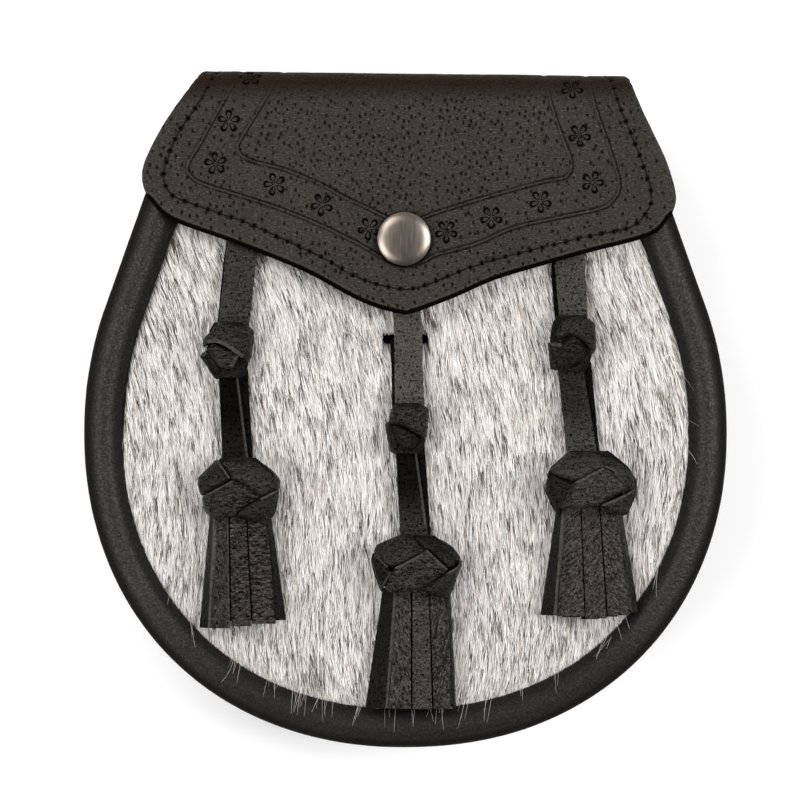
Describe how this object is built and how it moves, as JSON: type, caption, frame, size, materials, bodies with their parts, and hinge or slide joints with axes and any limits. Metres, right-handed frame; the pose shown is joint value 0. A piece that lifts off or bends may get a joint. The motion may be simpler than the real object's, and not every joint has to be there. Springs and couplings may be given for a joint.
{
  "type": "sporran pouch",
  "caption": "Round-bottomed belt pouch with a short-haired fur front, a tooled leather flap closed by a snap, a rolled leather rim and knotted leather tassels.",
  "frame": {"origin": "on the surface that the pouch lies on with its back down, under the middle of its outline", "axes": "+X across the pouch to the right as its front is seen, +Y up to the fold of the flap, +Z out of the front"},
  "size_m": [0.1822, 0.1918, 0.0479],
  "materials": {
    "flap_leather": "pored matt leather, tooled and stitched",
    "rim_leather": "smooth satin leather with a fine grain",
    "back_leather": "plain satin leather",
    "tassel_leather": "soft creased leather with cut edges",
    "fur": "short grey and white hair combed down",
    "nickel": "brushed nickel"
  },
  "bodies": {
    "root": {"front_rim": "rim_leather", "gusset": "rim_leather", "back_rim": "rim_leather", "back_panel": "back_leather", "fur_panel": "fur", "flap": "flap_leather", "snap_cap": "nickel", "snap_stud": "nickel", "hanger_loop_left": "back_leather", "hanger_loop_right": "back_leather", "tassel_left_thong": "tassel_leather", "tassel_left_small_knot": "tassel_leather", "tassel_left_drop": "tassel_leather", "tassel_left_head": "tassel_leather", "tassel_left_fringe": "tassel_leather", "tassel_center_thong": "tassel_leather", "tassel_center_small_knot": "tassel_leather", "tassel_center_drop": "tassel_leather", "tassel_center_head": "tassel_leather", "tassel_center_fringe": "tassel_leather", "tassel_right_thong": "tassel_leather", "tassel_right_small_knot": "tassel_leather", "tassel_right_drop": "tassel_leather", "tassel_right_head": "tassel_leather", "tassel_right_fringe": "tassel_leather"}
  },
  "joints": []
}
